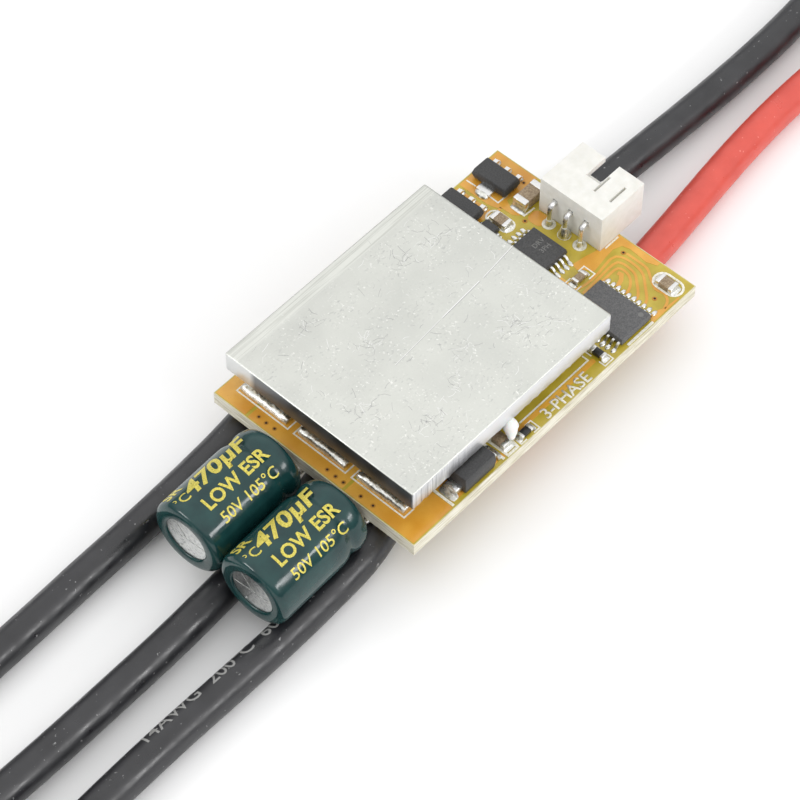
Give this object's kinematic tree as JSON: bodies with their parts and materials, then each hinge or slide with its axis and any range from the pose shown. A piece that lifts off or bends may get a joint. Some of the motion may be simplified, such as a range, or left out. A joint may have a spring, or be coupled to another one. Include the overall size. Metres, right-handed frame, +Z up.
{
  "type": "electronic speed controller",
  "caption": "Bare brushless motor speed controller board with a flat aluminium heat sink, two radial capacitors, a signal header and silicone motor and battery leads.",
  "frame": {"origin": "middle of the circuit board's underside", "axes": "+X along the board from the motor leads to the battery leads and signal header, +Z up through the heat sink"},
  "size_m": [0.1982, 0.0307, 0.0115],
  "materials": {
    "board": "semi-gloss solder mask over copper",
    "aluminium": "satin, scratched",
    "adhesive": "matt white silicone",
    "chip": "matt moulded epoxy",
    "ceramic": "matt",
    "resistor": "satin overglaze",
    "solder": "bright solder and tinned copper",
    "header": "satin off-white nylon",
    "sleeve": "glossy dark green film with gold print",
    "can": "bright drawn",
    "rubber": "matt",
    "winding": "wound foil and paper",
    "black_silicone": "satin silicone",
    "red_silicone": "satin silicone"
  },
  "bodies": {
    "root": {"circuit_board": "board", "heat_sink": "aluminium", "thermal_adhesive": "adhesive", "power_transistor_1": "chip", "power_transistor_2": "chip", "power_transistor_3": "chip", "power_transistor_4": "chip", "power_transistor_5": "chip", "power_transistor_6": "chip", "tab_solder_1": "solder", "tab_solder_2": "solder", "tab_solder_3": "solder", "microcontroller": "chip", "gate_driver": "chip", "voltage_regulator_1": "chip", "voltage_regulator_2": "chip", "protection_diode": "chip", "signal_diode": "chip", "chip_capacitor_1": "ceramic", "chip_capacitor_2": "ceramic", "chip_capacitor_3": "ceramic", "chip_capacitor_4": "ceramic", "chip_capacitor_5": "ceramic", "chip_resistor_1": "resistor", "chip_resistor_2": "resistor", "header_shroud": "header", "header_pin_1": "solder", "header_pin_2": "solder", "header_pin_3": "solder", "pin_solder_1": "solder", "pin_solder_2": "solder", "pin_solder_3": "solder", "capacitor_1_can": "can", "capacitor_1_sleeve": "sleeve", "capacitor_1_bung": "rubber", "capacitor_1_winding": "winding", "capacitor_1_lead_negative": "solder", "capacitor_1_lead_positive": "solder", "capacitor_2_can": "can", "capacitor_2_sleeve": "sleeve", "capacitor_2_bung": "rubber", "capacitor_2_winding": "winding", "capacitor_2_lead_negative": "solder", "capacitor_2_lead_positive": "solder", "motor_lead_1": "black_silicone", "motor_lead_1_joint": "solder", "motor_lead_1_tip": "solder", "motor_lead_2": "black_silicone", "motor_lead_2_joint": "solder", "motor_lead_2_tip": "solder", "motor_lead_3": "black_silicone", "motor_lead_3_joint": "solder", "motor_lead_3_tip": "solder", "battery_lead_negative": "black_silicone", "battery_lead_negative_joint": "solder", "battery_lead_negative_tip": "solder", "battery_lead_positive": "red_silicone", "battery_lead_positive_joint": "solder", "battery_lead_positive_tip": "solder"}
  },
  "joints": []
}
